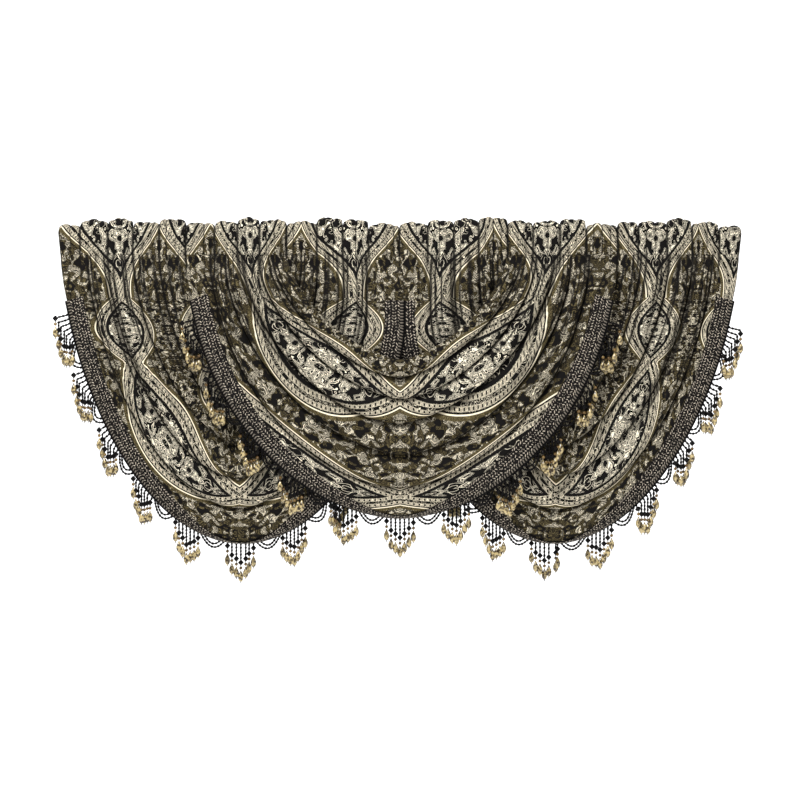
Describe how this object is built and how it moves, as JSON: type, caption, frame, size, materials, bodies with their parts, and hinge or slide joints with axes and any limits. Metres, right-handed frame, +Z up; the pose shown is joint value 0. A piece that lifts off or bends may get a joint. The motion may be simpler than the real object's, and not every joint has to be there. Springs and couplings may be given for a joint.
{
  "type": "waterfall valance",
  "caption": "Set of gathered waterfall valances on a shared rod pocket line, with swagged folds, woven braid hems and a beaded drop fringe.",
  "frame": {"origin": "middle of the top edge, on the plane of the hidden rod's axis", "axes": "+X to the right along the rod, +Y towards the wall behind, +Z up"},
  "size_m": [1.681, 0.101, 0.9005],
  "materials": {
    "damask_cloth": "woven jacquard damask, black-brown, olive and cream, low sheen",
    "woven_braid": "flat woven gimp braid, charcoal with taupe flecks",
    "glass_beads": "glossy black seed and bicone beads with pale gold drops"
  },
  "bodies": {
    "root": {"left_panel": "damask_cloth", "left_heading_left": "damask_cloth", "left_heading_right": "damask_cloth", "left_braid": "woven_braid", "left_fringe": "glass_beads", "centre_panel": "damask_cloth", "centre_heading_left": "damask_cloth", "centre_heading_right": "damask_cloth", "centre_braid": "woven_braid", "centre_fringe": "glass_beads", "right_panel": "damask_cloth", "right_heading_left": "damask_cloth", "right_heading_right": "damask_cloth", "right_braid": "woven_braid", "right_fringe": "glass_beads"}
  },
  "joints": []
}
